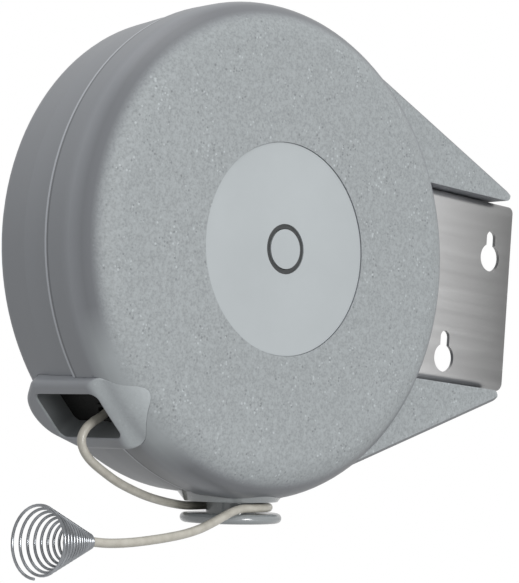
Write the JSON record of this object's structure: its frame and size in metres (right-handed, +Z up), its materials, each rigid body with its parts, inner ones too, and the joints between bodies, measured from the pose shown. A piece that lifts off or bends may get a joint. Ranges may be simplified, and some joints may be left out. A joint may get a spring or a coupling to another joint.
{
  "type": "retractable clothesline",
  "caption": "Round clothesline reel on a swivelling wall bracket, with a spring-driven spool, a line mouth, a locking cleat and a conical end spring.",
  "frame": {"origin": "the point of the wall bracket's wall face beside the hinge axis, halfway up", "axes": "-Y points into the wall, +Z is up, and the case lies towards -X in the rest pose"},
  "size_m": [0.2621, 0.0765, 0.2354],
  "materials": {
    "stainless": "brushed stainless sheet",
    "zinc": "bright zinc-plated steel",
    "case_plastic": "grey moulded ABS, stippled face and smooth rim",
    "disc_plastic": "smooth light grey moulded plastic",
    "cleat_plastic": "smooth grey moulded plastic",
    "black_plastic": "black moulded plastic",
    "nylon": "natural nylon",
    "spring_steel": "blued spring steel",
    "wire": "bright spring wire",
    "line": "cream PVC-coated line"
  },
  "bodies": {
    "bracket": {"wall_bracket": "stainless", "hinge_pin_upper": "zinc", "hinge_pin_lower": "zinc"},
    "case": {"front_shell": "case_plastic", "rear_shell": "case_plastic", "label_disc": "disc_plastic", "axle_cap": "disc_plastic", "axle": "zinc", "axle_bolt": "zinc", "axle_nut": "zinc", "hinge_bush_upper": "nylon", "hinge_bush_lower": "nylon", "case_screws": "zinc", "mouth_frame": "case_plastic", "guide_plate": "black_plastic", "line_eyelet": "black_plastic", "line_cleat": "cleat_plastic", "cleat_screw": "zinc", "power_spring": "spring_steel", "line_tail": "line", "line_knot": "line", "end_spring": "wire"},
    "spool": {"spool_drum": "nylon", "spool_flange": "nylon", "flange_screws": "zinc", "spool_bush_front": "black_plastic", "spool_bush_rear": "black_plastic", "wound_line": "line"}
  },
  "joints": [
    {"name": "case_swivel", "type": "hinge", "parent": "bracket", "child": "case", "pos_m": [0, 0.0203, 0], "axis": [0, 0, 1], "range_deg": [-180, 0]},
    {"name": "spool_spin", "type": "hinge", "parent": "case", "child": "spool", "pos_m": [-0.1245, 0.0138, 0], "axis": [0, 1, 0], "range_deg": [0, 12000], "stiffness_Nm_per_rad": 0.001, "springref_deg": -14323.94}
  ]
}
